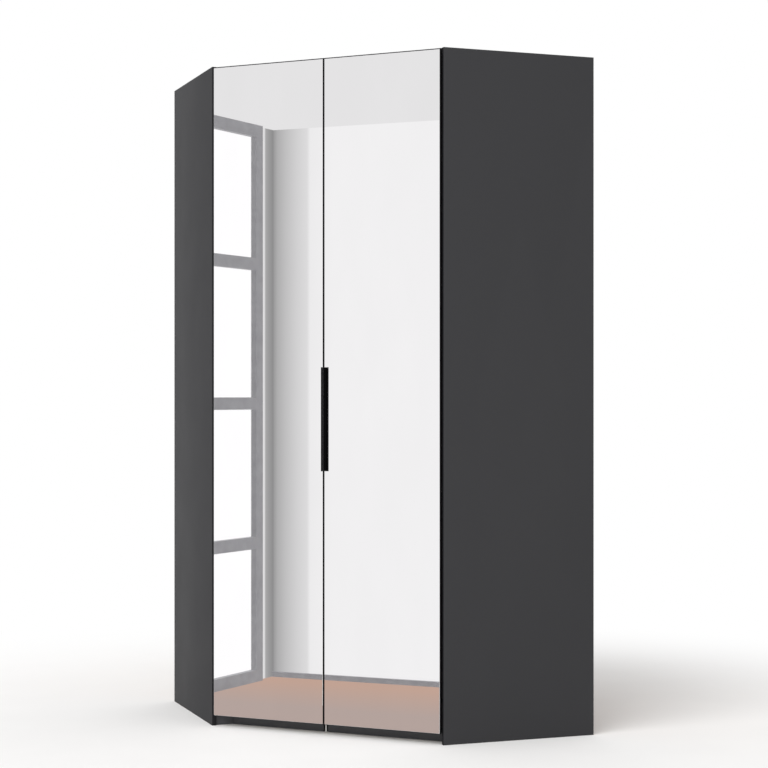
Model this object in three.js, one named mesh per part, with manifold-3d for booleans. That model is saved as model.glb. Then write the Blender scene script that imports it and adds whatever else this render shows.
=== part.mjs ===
// Corner wardrobe with two mirrored doors across its diagonal front.
// Millimetres, +Z up. The origin lies on the floor, under the middle of the square that the
// wardrobe takes up in the corner. The walls are the planes at the +X and +Y ends.

import * as THREE from 'three';
import { mergeVertices } from 'three/addons/utils/BufferGeometryUtils.js';
import Module from 'manifold-3d';

const wasm = await Module();
wasm.setup();

// Driving sizes of the carcass

const HEIGHT = 2360;
const WALL_RUN = 1200;          // from the wall corner to each side panel's outer face
const SIDE_DEPTH = 564;         // depth of each side panel
const BOARD = 16;               // laminated chipboard
const CLEARANCE = 0.3;          // between pieces that don't rest face to face
const OVERRUN = 2;              // how far a cutting tool passes the surface

const PLINTH_HEIGHT = 40;
const PLINTH_SETBACK = 62.5;    // from the line between the two front corners
const PLINTH_JOINT_OFFSET = 25.8; // from the middle of the front to the joint, towards the left
const PLINTH_JOINT_GAP = 17;
const RETURN_SETBACK = 9;       // of the short plinth piece beside the left side panel
const CONNECTOR_RIB = 6.4;      // width of the rib that shows between the plinth boards
const CONNECTOR_RIB_SETBACK = 0.5;
const CONNECTOR_WING = 30;      // from the rib's middle to each end behind the boards
const CONNECTOR_THICK = 2.5;

const FRONT_SETBACK = 14;       // of the top and bottom boards, behind the corner line
const BACK_THICK = 3;           // hardboard back
const BACK_INSET = 13;          // from the wall to the back's rear face
const GROOVE_DEPTH = 8;
const POST_LEG = 60;
const POST_REBATE = 12;

// Driving sizes of the inside

const HAT_SPACE = 368;          // clear height between the hat shelf and the top board
const HAT_SHELF_SETBACK = 60;
const COLUMN_WIDTH = 404;       // shelf column beside the left side panel
const PARTITION_SETBACK = 20;
const SHELF_SETBACK = 80;
const SHELF_COUNT = 4;

const RAIL_FROM_WALL = 300;
const RAIL_DROP = 60;
const RAIL_RADIUS = 12.5;
const RAIL_WALL = 1.5;
const RAIL_REAR_GAP = 70;
const SOCKET_RIM = 4.5;
const SOCKET_FLOOR = 3;
const SOCKET_DEPTH = 14;
const HANGER_PAD = 44;
const HANGER_THICK = 3;
const HANGER_STRAP = 18;

const ANGLE_LEG = 32;
const ANGLE_THICK = 2;
const ANGLE_WIDTH = 24;
const ANGLE_FROM_PANEL = 300;

// Driving sizes of the doors

const DOOR_PROUD = 8.3;         // mirror face in front of the corner line
const MIRROR_THICK = 4;
const MIRROR_BEVEL = 0.8;
const GLUE_LINE = 0.3;          // between the mirror and the door board
const MIRROR_END = 11.5;        // from the corner to the mirror, along the front
const DOOR_END = 12.5;          // from the corner to the door board
const DOOR_GAP = 6.6;           // where the doors meet
const DOOR_LOW = 37;
const MIRROR_LOW = 40;
const DOOR_TOP_GAP = 4.4;
const MIRROR_TOP_GAP = 8;

const HANDLE_MIDDLE = 1100;
const HANDLE_LENGTH = 361;
const HANDLE_LIP = 4.9;
const HANDLE_PROUD = 17;
const HANDLE_FLANGE = 16.1;
const HANDLE_THICK = 3;
const HANDLE_GROOVE = 3;
const HANDLE_GROOVE_AT = 7;
const HANDLE_GROOVE_DEPTH = 0.8;
const HANDLE_EASE = 0.9;
const HANDLE_TONGUE = 9;        // reaches back along the door's edge
const HANDLE_TONGUE_THICK = 2;

// Driving sizes of a hinge

const HINGE_COUNT = 4;
const HINGE_FROM_END = 110;     // from the door's ends to the outer hinges
const CUP_RADIUS = 17.5;
const CUP_DEPTH = 11.5;
const CUP_WALL = 1;
const CUP_EDGE = 5;             // wood left between the cup and the door's end
const CUP_RIM = 2.6;
const CUP_PLATE_THICK = 1;
const CUP_PLATE_LENGTH = 62;
const CUP_PLATE_WIDTH = 18;

const PIVOT_FROM_PANEL = 9.2;   // hinge pin from the side panel's inner face
const PIVOT_BACK = 6.4;         // hinge pin behind the side panel's front edge
const PIN_RADIUS = 1.5;
const EYE_WALL = 1.6;
const LINK_THICK = 3;
const LINK_WIDTH = 11;
const LINK_ELBOW = 6.5;
const NECK_OFFSET = 10.5;       // link's neck beyond the middle of the cup
const HEEL_DEPTH = 1.5;         // link's heel below the cup's mouth

const ARM_LENGTH = 54;
const ARM_THICK = 1.5;
const ARM_CHEEK = 8.5;
const ARM_NOSE = 3.6;
const ARM_START = 12;
const PLATE_BACK = 37;          // screw line behind the side panel's front edge
const PLATE_FOOT_WIDTH = 16;
const PLATE_FOOT_LENGTH = 50;
const PLATE_FOOT_THICK = 2;
const PLATE_BLOCK_LENGTH = 36;

const ROUND_STEPS = 24;

// Places worked out from the driving sizes

const ROOT2 = Math.SQRT2;
const CORNER = WALL_RUN - SIDE_DEPTH;
const FRONT_RUN = CORNER * ROOT2;
const REAR = WALL_RUN - BACK_INSET - BACK_THICK;
const FLOOR_TOP = PLINTH_HEIGHT + BOARD;
const TOP_UNDERSIDE = HEIGHT - BOARD;
const HAT_SHELF_HEIGHT = TOP_UNDERSIDE - HAT_SPACE - BOARD;
const DOOR_HIGH = HEIGHT - DOOR_TOP_GAP;
const MIRROR_FACE = -DOOR_PROUD;
const MIRROR_BACK = MIRROR_FACE + MIRROR_THICK;
const DOOR_FACE = MIRROR_BACK + GLUE_LINE;
const DOOR_BACK = DOOR_FACE + BOARD;
const CUP_RIM_FACE = DOOR_BACK + CLEARANCE;
const HANDLE_SEAT = MIRROR_FACE - CLEARANCE;
const DOOR_MEETS = (FRONT_RUN - DOOR_GAP) / 2;
const CUP_CENTRE = DOOR_END + CUP_EDGE + CUP_RADIUS;
const PIVOT_ACROSS = BOARD + PIVOT_FROM_PANEL;
const EYE_RADIUS = PIN_RADIUS + CLEARANCE + EYE_WALL;
const CHEEK_INSIDE = LINK_WIDTH / 2 + CLEARANCE;
const CHEEK_OUTSIDE = CHEEK_INSIDE + ARM_THICK;

// Materials

const finish = (color, roughness, metalness) =>
  new THREE.MeshStandardMaterial({ color, roughness, metalness });

const graphiteBoard = () => finish(0x4b494b, 0.55, 0);
const doorBoard = () => finish(0x3c3b3d, 0.55, 0);
const linenBoard = () => finish(0xb4b1ab, 0.55, 0);
const hardboard = () => finish(0x6a5b4b, 0.8, 0);
const mirrorGlass = () => finish(0xe6eaec, 0.03, 1);
const blackAluminium = () => finish(0x101011, 0.4, 0.6);
const steel = () => finish(0xb9bcc0, 0.28, 1);
const greyPlastic = () => finish(0xc8c8c6, 0.5, 0);

// Shapes

function outline(points) {
  return new THREE.Shape(points.map(([x, y]) => new THREE.Vector2(x, y)));
}

function standing(points, low, high) {
  const settings = { depth: high - low, bevelEnabled: false };
  return new THREE.ExtrudeGeometry(outline(points), settings).translate(0, 0, low);
}

function block(x0, x1, y0, y1, z0, z1) {
  return standing([[x0, y0], [x1, y0], [x1, y1], [x0, y1]], z0, z1);
}

function disc(x, y, radius, low, high) {
  const shape = new THREE.Shape().absarc(x, y, radius, 0, Math.PI * 2, false);
  const settings = { depth: high - low, bevelEnabled: false, curveSegments: ROUND_STEPS / 2 };
  return new THREE.ExtrudeGeometry(shape, settings).translate(0, 0, low);
}

// A lathe turned so that its axis runs along +Y, from the given centre
function turned(profile, x, y, z) {
  const points = profile.map(([radius, along]) => new THREE.Vector2(radius, along));
  return new THREE.LatheGeometry(points, ROUND_STEPS).translate(x, y, z);
}

function solid(geometry) {
  const bare = geometry.clone();
  bare.deleteAttribute('normal');
  bare.deleteAttribute('uv');
  const merged = mergeVertices(bare);
  return new wasm.Manifold(new wasm.Mesh({
    numProp: 3,
    vertProperties: new Float32Array(merged.attributes.position.array),
    triVerts: new Uint32Array(merged.index.array),
  }));
}

function surface(manifold) {
  const mesh = manifold.getMesh();
  const geometry = new THREE.BufferGeometry();
  geometry.setAttribute('position', new THREE.BufferAttribute(mesh.vertProperties, 3));
  geometry.setIndex(new THREE.BufferAttribute(mesh.triVerts, 1));
  const faceted = geometry.toNonIndexed();
  faceted.computeVertexNormals();
  return faceted;
}

function joined(...geometries) {
  return surface(geometries.map(solid).reduce((whole, next) => whole.add(next)));
}

function cut(geometry, ...tools) {
  return surface(tools.map(solid).reduce((whole, next) => whole.subtract(next), solid(geometry)));
}

function piece(name, geometry, material) {
  const mesh = new THREE.Mesh(geometry, material);
  mesh.name = name;
  return mesh;
}

// The left and right halves mirror each other across the line from the wall corner to the
// middle of the front: in the walls' frame x and y swap, along the front the run is reversed.

const SIDES = ['left', 'right'];

const onSide = (side, points) =>
  (side === 'left' ? points : points.map(([x, y]) => [y, x]));

const alongFront = (side, along) => (side === 'left' ? along : FRONT_RUN - along);

const onFront = (side, points) =>
  points.map(([along, inward]) => [alongFront(side, along), inward]);

// From a side panel's own directions, across its thickness and back from its front edge, to
// the front's directions, along the front and inwards
const fromPanel = ([across, back]) => [(across - back) / ROOT2, (across + back) / ROOT2];

// Carcass

function sidePanel(side) {
  const grooveFront = REAR - CLEARANCE;
  const grooveRear = REAR + BACK_THICK + CLEARANCE;
  const grooveBottom = BOARD - GROOVE_DEPTH;
  const points = [
    [0, CORNER], [BOARD, CORNER],
    [BOARD, grooveFront], [grooveBottom, grooveFront],
    [grooveBottom, grooveRear], [BOARD, grooveRear],
    [BOARD, WALL_RUN], [0, WALL_RUN],
  ];
  return piece(`${side}_side_panel`, standing(onSide(side, points), 0, HEIGHT), graphiteBoard());
}

function cornerBoard(name, setback, low, material) {
  const frontLine = CORNER + setback * ROOT2;
  const points = [
    [BOARD, frontLine - BOARD], [frontLine - BOARD, BOARD],
    [REAR, BOARD], [REAR, REAR], [BOARD, REAR],
  ];
  return piece(name, standing(points, low, low + BOARD), material);
}

function cornerPost() {
  const legEnd = WALL_RUN - POST_LEG;
  const rebateEnd = legEnd + POST_REBATE;
  const rebateFace = WALL_RUN - BACK_INSET + CLEARANCE;
  const points = [
    [WALL_RUN, WALL_RUN], [legEnd, WALL_RUN],
    [legEnd, rebateFace], [rebateEnd, rebateFace], [rebateEnd, REAR],
    [REAR, REAR],
    [REAR, rebateEnd], [rebateFace, rebateEnd], [rebateFace, legEnd],
    [WALL_RUN, legEnd],
  ];
  return piece('corner_post', standing(points, 0, HEIGHT), linenBoard());
}

function backPanel(side) {
  const near = BOARD - GROOVE_DEPTH + CLEARANCE;
  const far = WALL_RUN - POST_LEG + POST_REBATE - CLEARANCE;
  const points = [
    [near, REAR], [far, REAR], [far, REAR + BACK_THICK], [near, REAR + BACK_THICK],
  ];
  const geometry = standing(onSide(side, points), PLINTH_HEIGHT, HEIGHT);
  return piece(`${side}_back_panel`, geometry, hardboard());
}

function plinthBoard(side) {
  const panelLine = (BOARD + CLEARANCE) * ROOT2;
  const rear = PLINTH_SETBACK + BOARD;
  const offset = side === 'left' ? -PLINTH_JOINT_OFFSET : PLINTH_JOINT_OFFSET;
  const end = (FRONT_RUN - PLINTH_JOINT_GAP) / 2 + offset;
  const points = [
    [panelLine - PLINTH_SETBACK, PLINTH_SETBACK], [end, PLINTH_SETBACK],
    [end, rear], [panelLine - rear, rear],
  ];
  const geometry = standing(onFront(side, points), 0, PLINTH_HEIGHT);
  return piece(`${side}_plinth`, geometry, graphiteBoard());
}

function plinthReturn() {
  const front = CORNER + RETURN_SETBACK;
  const rear = front + BOARD;
  const plinthLine = CORNER + (PLINTH_SETBACK - CLEARANCE) * ROOT2;
  const points = [
    [BOARD, front], [plinthLine - front, front], [plinthLine - rear, rear], [BOARD, rear],
  ];
  return piece('plinth_return', standing(points, 0, PLINTH_HEIGHT), graphiteBoard());
}

function plinthConnector() {
  const ribHalf = CONNECTOR_RIB / 2;
  const middle = FRONT_RUN / 2 - PLINTH_JOINT_OFFSET;
  const webFront = PLINTH_SETBACK + BOARD + CLEARANCE;
  const webRear = webFront + CONNECTOR_THICK;
  const ribFront = PLINTH_SETBACK + CONNECTOR_RIB_SETBACK;
  const points = [
    [middle - CONNECTOR_WING, webFront], [middle - ribHalf, webFront],
    [middle - ribHalf, ribFront], [middle + ribHalf, ribFront],
    [middle + ribHalf, webFront], [middle + CONNECTOR_WING, webFront],
    [middle + CONNECTOR_WING, webRear], [middle - CONNECTOR_WING, webRear],
  ];
  return piece('plinth_connector', standing(points, 0, PLINTH_HEIGHT), greyPlastic());
}

// Inside

function partition() {
  const near = BOARD + COLUMN_WIDTH;
  const front = CORNER + PARTITION_SETBACK;
  const geometry = block(near, near + BOARD, front, REAR, FLOOR_TOP, HAT_SHELF_HEIGHT);
  return piece('partition', geometry, linenBoard());
}

function columnShelf(index) {
  const bay = (HAT_SHELF_HEIGHT - FLOOR_TOP - SHELF_COUNT * BOARD) / (SHELF_COUNT + 1);
  const low = FLOOR_TOP + (index + 1) * bay + index * BOARD;
  const front = CORNER + SHELF_SETBACK;
  const geometry = block(BOARD, BOARD + COLUMN_WIDTH, front, REAR, low, low + BOARD);
  return piece(`shelf_${index + 1}`, geometry, linenBoard());
}

function railCup(wallEnd, openEnd) {
  const outer = RAIL_RADIUS + CLEARANCE + SOCKET_RIM;
  const inner = RAIL_RADIUS + CLEARANCE;
  const floor = wallEnd + Math.sign(openEnd - wallEnd) * SOCKET_FLOOR;
  const profile = [[0, wallEnd], [outer, wallEnd], [outer, openEnd], [inner, openEnd],
    [inner, floor], [0, floor]];
  return wallEnd < openEnd ? profile : profile.reverse();
}

function hangingRail() {
  const x = WALL_RUN - RAIL_FROM_WALL;
  const z = HAT_SHELF_HEIGHT - RAIL_DROP;
  const start = BOARD + SOCKET_FLOOR + CLEARANCE;
  const end = REAR - RAIL_REAR_GAP - SOCKET_FLOOR - CLEARANCE;
  const inner = RAIL_RADIUS - RAIL_WALL;
  const profile = [[RAIL_RADIUS, start], [RAIL_RADIUS, end], [inner, end], [inner, start],
    [RAIL_RADIUS, start]];
  return piece('hanging_rail', turned(profile, x, 0, z), steel());
}

function railSocket() {
  const x = WALL_RUN - RAIL_FROM_WALL;
  const z = HAT_SHELF_HEIGHT - RAIL_DROP;
  const profile = railCup(BOARD, BOARD + SOCKET_DEPTH);
  return piece('rail_socket', turned(profile, x, 0, z), steel());
}

function railHanger() {
  const x = WALL_RUN - RAIL_FROM_WALL;
  const z = HAT_SHELF_HEIGHT - RAIL_DROP;
  const wallEnd = REAR - RAIL_REAR_GAP;
  const cup = turned(railCup(wallEnd, wallEnd - SOCKET_DEPTH), x, 0, z);
  const strap = block(x - HANGER_STRAP / 2, x + HANGER_STRAP / 2,
    wallEnd - HANGER_THICK, wallEnd, z, HAT_SHELF_HEIGHT);
  const pad = block(x - HANGER_PAD / 2, x + HANGER_PAD / 2,
    wallEnd - HANGER_PAD, wallEnd, HAT_SHELF_HEIGHT - HANGER_THICK, HAT_SHELF_HEIGHT);
  return piece('rail_hanger', joined(pad, strap, cup), steel());
}

// Steel angle under the top board that ties the wardrobe to the wall
function wallAngle(side) {
  const near = BOARD + ANGLE_FROM_PANEL;
  const across = onSide(side, [[near, REAR - ANGLE_LEG], [near + ANGLE_WIDTH, REAR]]);
  const upright = onSide(side, [[near, REAR - ANGLE_THICK], [near + ANGLE_WIDTH, REAR]]);
  const flat = block(across[0][0], across[1][0], across[0][1], across[1][1],
    TOP_UNDERSIDE - ANGLE_THICK, TOP_UNDERSIDE);
  const back = block(upright[0][0], upright[1][0], upright[0][1], upright[1][1],
    TOP_UNDERSIDE - ANGLE_LEG, TOP_UNDERSIDE);
  return piece(`${side}_wall_angle`, joined(flat, back), steel());
}

// Doors, in the front's frame

const hingeHeights = Array.from({ length: HINGE_COUNT }, (_, index) => {
  const low = DOOR_LOW + HINGE_FROM_END;
  const high = DOOR_HIGH - HINGE_FROM_END;
  return low + (high - low) * index / (HINGE_COUNT - 1);
});

function doorPanel(side) {
  const points = onFront(side, [[DOOR_END, DOOR_FACE], [DOOR_MEETS, DOOR_BACK]]);
  const slab = block(
    Math.min(points[0][0], points[1][0]), Math.max(points[0][0], points[1][0]),
    DOOR_FACE, DOOR_BACK, DOOR_LOW, DOOR_HIGH);
  const bottom = DOOR_BACK - CUP_DEPTH - CLEARANCE;
  const profile = [[0, bottom], [CUP_RADIUS, bottom],
    [CUP_RADIUS, DOOR_BACK + OVERRUN], [0, DOOR_BACK + OVERRUN]];
  const bores = hingeHeights.map((z) => turned(profile, alongFront(side, CUP_CENTRE), 0, z));
  return piece(`${side}_door_board`, cut(slab, ...bores), doorBoard());
}

function mirror(side) {
  const ends = [alongFront(side, MIRROR_END), alongFront(side, DOOR_MEETS)];
  const near = Math.min(...ends);
  const far = Math.max(...ends);
  const high = HEIGHT - MIRROR_TOP_GAP;
  const face = outline([[near, MIRROR_LOW], [far, MIRROR_LOW], [far, high], [near, high]]);
  const geometry = new THREE.ExtrudeGeometry(face, {
    depth: MIRROR_THICK - 2 * MIRROR_BEVEL,
    bevelThickness: MIRROR_BEVEL,
    bevelSize: MIRROR_BEVEL,
    bevelOffset: -MIRROR_BEVEL,
    bevelSegments: 1,
  });
  geometry.rotateX(Math.PI / 2).translate(0, MIRROR_BACK - MIRROR_BEVEL, 0);
  return piece(`${side}_mirror`, geometry, mirrorGlass());
}

function doorHandle() {
  const doorEdge = FRONT_RUN - DOOR_MEETS;
  const lipRight = doorEdge - CLEARANCE;
  const lipLeft = lipRight - HANDLE_LIP;
  const tongueLeft = lipRight - HANDLE_TONGUE_THICK;
  const tip = HANDLE_SEAT - HANDLE_PROUD;
  const top = HANDLE_SEAT - HANDLE_THICK;
  const flangeEnd = lipRight + HANDLE_FLANGE;
  const grooveLeft = lipRight + HANDLE_GROOVE_AT;
  const points = [
    [lipLeft, tip + HANDLE_EASE], [lipLeft + HANDLE_EASE, tip],
    [lipRight - HANDLE_EASE, tip], [lipRight, tip + HANDLE_EASE],
    [lipRight, top],
    [grooveLeft, top], [grooveLeft, top + HANDLE_GROOVE_DEPTH],
    [grooveLeft + HANDLE_GROOVE, top + HANDLE_GROOVE_DEPTH], [grooveLeft + HANDLE_GROOVE, top],
    [flangeEnd - HANDLE_EASE, top], [flangeEnd, top + HANDLE_EASE],
    [flangeEnd, HANDLE_SEAT],
    [lipRight, HANDLE_SEAT], [lipRight, HANDLE_SEAT + HANDLE_TONGUE],
    [tongueLeft, HANDLE_SEAT + HANDLE_TONGUE], [tongueLeft, HANDLE_SEAT],
    [lipLeft, HANDLE_SEAT],
  ];
  const low = HANDLE_MIDDLE - HANDLE_LENGTH / 2;
  return piece('door_handle', standing(points, low, low + HANDLE_LENGTH), blackAluminium());
}

// Hinges, in the front's frame

function hingeCup(side, name, z) {
  const outer = CUP_RADIUS - CLEARANCE;
  const inner = outer - CUP_WALL;
  const bottom = DOOR_BACK - CUP_DEPTH;
  const rimTop = CUP_RIM_FACE + CUP_PLATE_THICK;
  const centre = alongFront(side, CUP_CENTRE);
  const bowl = turned([
    [0, bottom], [outer, bottom], [outer, CUP_RIM_FACE], [outer + CUP_RIM, CUP_RIM_FACE],
    [outer + CUP_RIM, rimTop], [inner, rimTop], [inner, bottom + CUP_WALL],
    [0, bottom + CUP_WALL],
  ], centre, 0, z);
  const plate = block(centre - CUP_PLATE_WIDTH / 2, centre + CUP_PLATE_WIDTH / 2,
    CUP_RIM_FACE, rimTop, z - CUP_PLATE_LENGTH / 2, z + CUP_PLATE_LENGTH / 2);
  const mouth = turned([
    [0, CUP_RIM_FACE - OVERRUN], [inner, CUP_RIM_FACE - OVERRUN],
    [inner, rimTop + OVERRUN], [0, rimTop + OVERRUN],
  ], centre, 0, z);
  const wings = solid(plate).subtract(solid(mouth));
  return piece(name, surface(wings.add(solid(bowl))), steel());
}

// The outline of a strip of even thickness along a bent line
function strip(line, thick) {
  const half = thick / 2;
  const side = (sign) => line.map(([x, y], i) => {
    const before = line[Math.max(i - 1, 0)];
    const after = line[Math.min(i + 1, line.length - 1)];
    const into = new THREE.Vector2(x - before[0], y - before[1]);
    const out = new THREE.Vector2(after[0] - x, after[1] - y);
    const first = i === 0 ? out : into;
    const last = i === line.length - 1 ? into : out;
    const along = first.normalize().add(last.normalize()).normalize();
    const stretch = half / Math.abs(along.dot(last));
    return [x - sign * along.y * stretch, y + sign * along.x * stretch];
  });
  return [...side(1), ...side(-1).reverse()];
}

function hingeLink(side, name, z) {
  const pivot = fromPanel([PIVOT_ACROSS, PIVOT_BACK]);
  const neck = [CUP_CENTRE + NECK_OFFSET, pivot[1] - LINK_ELBOW];
  const elbow = [neck[0] - LINK_ELBOW, pivot[1]];
  const heel = [neck[0], DOOR_BACK - HEEL_DEPTH];
  const cupFloor = DOOR_BACK - CUP_DEPTH + CUP_WALL;
  const drop = heel[1] - cupFloor - CLEARANCE - LINK_THICK / 2 / ROOT2;
  const toe = [heel[0] - drop, heel[1] - drop];
  const line = onFront(side, [pivot, elbow, neck, heel, toe]);
  const low = z - LINK_WIDTH / 2;
  const high = z + LINK_WIDTH / 2;
  const [x, y] = onFront(side, [pivot])[0];
  const body = joined(standing(strip(line, LINK_THICK), low, high),
    disc(x, y, EYE_RADIUS, low, high));
  const hole = disc(x, y, PIN_RADIUS + CLEARANCE, low - OVERRUN, high + OVERRUN);
  return piece(name, cut(body, hole), steel());
}

function hingeArm(side, name, z) {
  const front = PIVOT_BACK - ARM_NOSE;
  const rear = ARM_START + ARM_LENGTH;
  const outer = PIVOT_ACROSS + ARM_NOSE;
  const inner = PIVOT_ACROSS - ARM_NOSE;
  const webInner = PIVOT_ACROSS + ARM_NOSE - ARM_THICK;
  const foot = outer - ARM_CHEEK;
  const ease = ARM_NOSE / 2;
  const place = (points) => onFront(side, points.map(fromPanel));
  const cheek = place([
    [inner, front + ease], [inner + ease, front], [outer - ease, front], [outer, front + ease],
    [outer, rear], [foot, rear], [foot, ARM_START + ARM_NOSE], [inner, ARM_START],
  ]);
  const web = place([[webInner, ARM_START], [outer, ARM_START], [outer, rear], [webInner, rear]]);
  const [x, y] = place([[PIVOT_ACROSS, PIVOT_BACK]])[0];
  const geometry = joined(
    standing(cheek, z + CHEEK_INSIDE, z + CHEEK_OUTSIDE),
    standing(cheek, z - CHEEK_OUTSIDE, z - CHEEK_INSIDE),
    standing(web, z - CHEEK_OUTSIDE, z + CHEEK_OUTSIDE),
    disc(x, y, PIN_RADIUS, z - CHEEK_OUTSIDE, z + CHEEK_OUTSIDE),
  );
  return piece(name, geometry, steel());
}

function hingePlate(side, name, z) {
  const blockTop = PIVOT_ACROSS + ARM_NOSE - ARM_THICK - CLEARANCE;
  const blockHalf = CHEEK_INSIDE - CLEARANCE;
  const face = BOARD + CLEARANCE;
  const place = (points) => onFront(side, points.map(fromPanel));
  const plank = (top, length) => place([
    [face, PLATE_BACK - length / 2], [top, PLATE_BACK - length / 2],
    [top, PLATE_BACK + length / 2], [face, PLATE_BACK + length / 2],
  ]);
  const foot = plank(face + PLATE_FOOT_THICK, PLATE_FOOT_WIDTH);
  const riser = plank(blockTop, PLATE_BLOCK_LENGTH);
  const geometry = joined(
    standing(foot, z - PLATE_FOOT_LENGTH / 2, z + PLATE_FOOT_LENGTH / 2),
    standing(riser, z - blockHalf, z + blockHalf),
  );
  return piece(name, geometry, steel());
}

function hingesOf(side) {
  return hingeHeights.flatMap((z, index) => [
    hingePlate(side, `${side}_hinge_plate_${index + 1}`, z),
    hingeArm(side, `${side}_hinge_arm_${index + 1}`, z),
    hingeLink(side, `${side}_hinge_link_${index + 1}`, z),
    hingeCup(side, `${side}_hinge_cup_${index + 1}`, z),
  ]);
}

// Assembly

const front = new THREE.Group();
front.position.set(0, CORNER, 0);
front.rotation.z = -Math.PI / 4;
for (const side of SIDES) {
  front.add(plinthBoard(side), doorPanel(side), mirror(side), ...hingesOf(side));
}
front.add(plinthConnector(), doorHandle());

const wardrobe = new THREE.Group();
wardrobe.position.set(-WALL_RUN / 2, -WALL_RUN / 2, 0);
for (const side of SIDES) {
  wardrobe.add(sidePanel(side), backPanel(side), wallAngle(side));
}
wardrobe.add(
  cornerBoard('bottom_board', FRONT_SETBACK, PLINTH_HEIGHT, linenBoard()),
  cornerBoard('top_board', FRONT_SETBACK, TOP_UNDERSIDE, graphiteBoard()),
  cornerBoard('hat_shelf', HAT_SHELF_SETBACK, HAT_SHELF_HEIGHT, linenBoard()),
  cornerPost(),
  plinthReturn(),
  partition(),
  ...Array.from({ length: SHELF_COUNT }, (_, index) => columnShelf(index)),
  hangingRail(),
  railSocket(),
  railHanger(),
  front,
);

export default wardrobe;
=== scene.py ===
"""Finishes and fittings of a corner wardrobe with two mirrored doors, in a plain studio."""

from collections import namedtuple
from math import pi, radians

import bpy
from mathutils import Matrix, Vector


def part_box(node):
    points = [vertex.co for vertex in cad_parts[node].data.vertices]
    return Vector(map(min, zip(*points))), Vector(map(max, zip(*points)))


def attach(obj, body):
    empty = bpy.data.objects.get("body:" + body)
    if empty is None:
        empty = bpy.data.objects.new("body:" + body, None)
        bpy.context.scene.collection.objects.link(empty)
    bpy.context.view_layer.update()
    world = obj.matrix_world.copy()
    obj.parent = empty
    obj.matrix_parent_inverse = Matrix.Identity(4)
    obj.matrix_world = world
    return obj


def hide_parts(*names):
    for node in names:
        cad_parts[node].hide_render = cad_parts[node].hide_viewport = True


bl_info = {
    "name": "Corner Wardrobe",
    "version": (1, 0, 0),
    "blender": (4, 5, 0),
    "location": "3D View > Sidebar > Wardrobe",
    "description": "Finishes and fittings of a corner wardrobe with two mirrored doors",
    "category": "Object",
}

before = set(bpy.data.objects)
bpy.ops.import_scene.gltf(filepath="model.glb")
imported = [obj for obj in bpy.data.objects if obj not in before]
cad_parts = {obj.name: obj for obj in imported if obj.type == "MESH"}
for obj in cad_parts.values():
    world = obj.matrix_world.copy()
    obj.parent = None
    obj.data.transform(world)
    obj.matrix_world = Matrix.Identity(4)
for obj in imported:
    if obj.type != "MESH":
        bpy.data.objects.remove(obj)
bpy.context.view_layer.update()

MM = 0.001
UP = Vector((0, 0, 1))
ALONG_X = Vector((1, 0, 0))
ALONG_Y = Vector((0, 1, 0))
SIDES = ("left", "right")
HINGES = (1, 2, 3, 4)
SHELVES = ("shelf_1", "shelf_2", "shelf_3", "shelf_4")
WHITE = (1, 1, 1, 1)
# Width in millimetres of the sensor that the lens is given for
SENSOR = 36

# Two places closer than this are one.
TOUCH = 0.01 * MM
# Cosines from which a face looks straight along a direction, and more or less that way
SQUARE_ON = 0.9
TOWARDS = 0.5


# Places, from the frame


def standing(start, end):
    """A placing whose X runs from one point to another as high, and whose Z is up."""
    way = (end - start).normalized()
    return Matrix.Translation(start) @ Matrix((way, UP.cross(way), UP)).transposed().to_4x4()


# The front's placing, whose X runs along it from its left corner and whose Y runs inwards
FRONT = standing(*(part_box(f"{side}_side_panel")[0] for side in SIDES))
ALONG, INWARD, CORNER = (FRONT.col[i].to_3d() for i in (0, 1, 3))


def front_box(node):
    """Lowest and highest corner of a CAD node in the front's own directions."""
    back = FRONT.inverted()
    points = [back @ vertex.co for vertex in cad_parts[node].data.vertices]
    return tuple(Vector(pick(axis) for axis in zip(*points)) for pick in (min, max))


def foremost(node):
    """How far inwards a CAD node's foremost face lies."""
    return CORNER.dot(INWARD) + front_box(node)[0].y


def on_face(low, high, way, depth=0.0):
    """The middle of a box's face that looks a way, or the place that deep behind it."""
    middle = (low + high) / 2
    return middle + way * (max(low.dot(way), high.dot(way)) - depth - middle.dot(way))


def into_wardrobe(side):
    """Square to a side panel's inner face, and back from its front edge."""
    return (ALONG_X, ALONG_Y) if side == "left" else (ALONG_Y, ALONG_X)


def facing(point, direction):
    """A placing whose own +Z looks in a direction."""
    return Matrix.Translation(point) @ direction.to_track_quat("Z", "Y").to_matrix().to_4x4()


# Colours


def linear(code):
    """The linear colour of an sRGB hex value."""
    parts = [int(code[i:i + 2], 16) / 255 for i in (1, 3, 5)]
    return tuple(c / 12.92 if c <= 0.04045 else ((c + 0.055) / 1.055) ** 2.4 for c in parts)


def rgba(colour, gain=1.0):
    return (*(min(c * gain, 1.0) for c in colour), 1.0)


def colour_setting(name, description, code):
    return bpy.props.FloatVectorProperty(
        name=name, description=description, default=linear(code), size=3, min=0, max=1,
        subtype="COLOR")


def number_setting(name, description, default, **limits):
    return bpy.props.FloatProperty(name=name, description=description, default=default, **limits)


def length_setting(name, description, default):
    return number_setting(name, description, default, min=0, unit="LENGTH", precision=5)


# Settings


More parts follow.
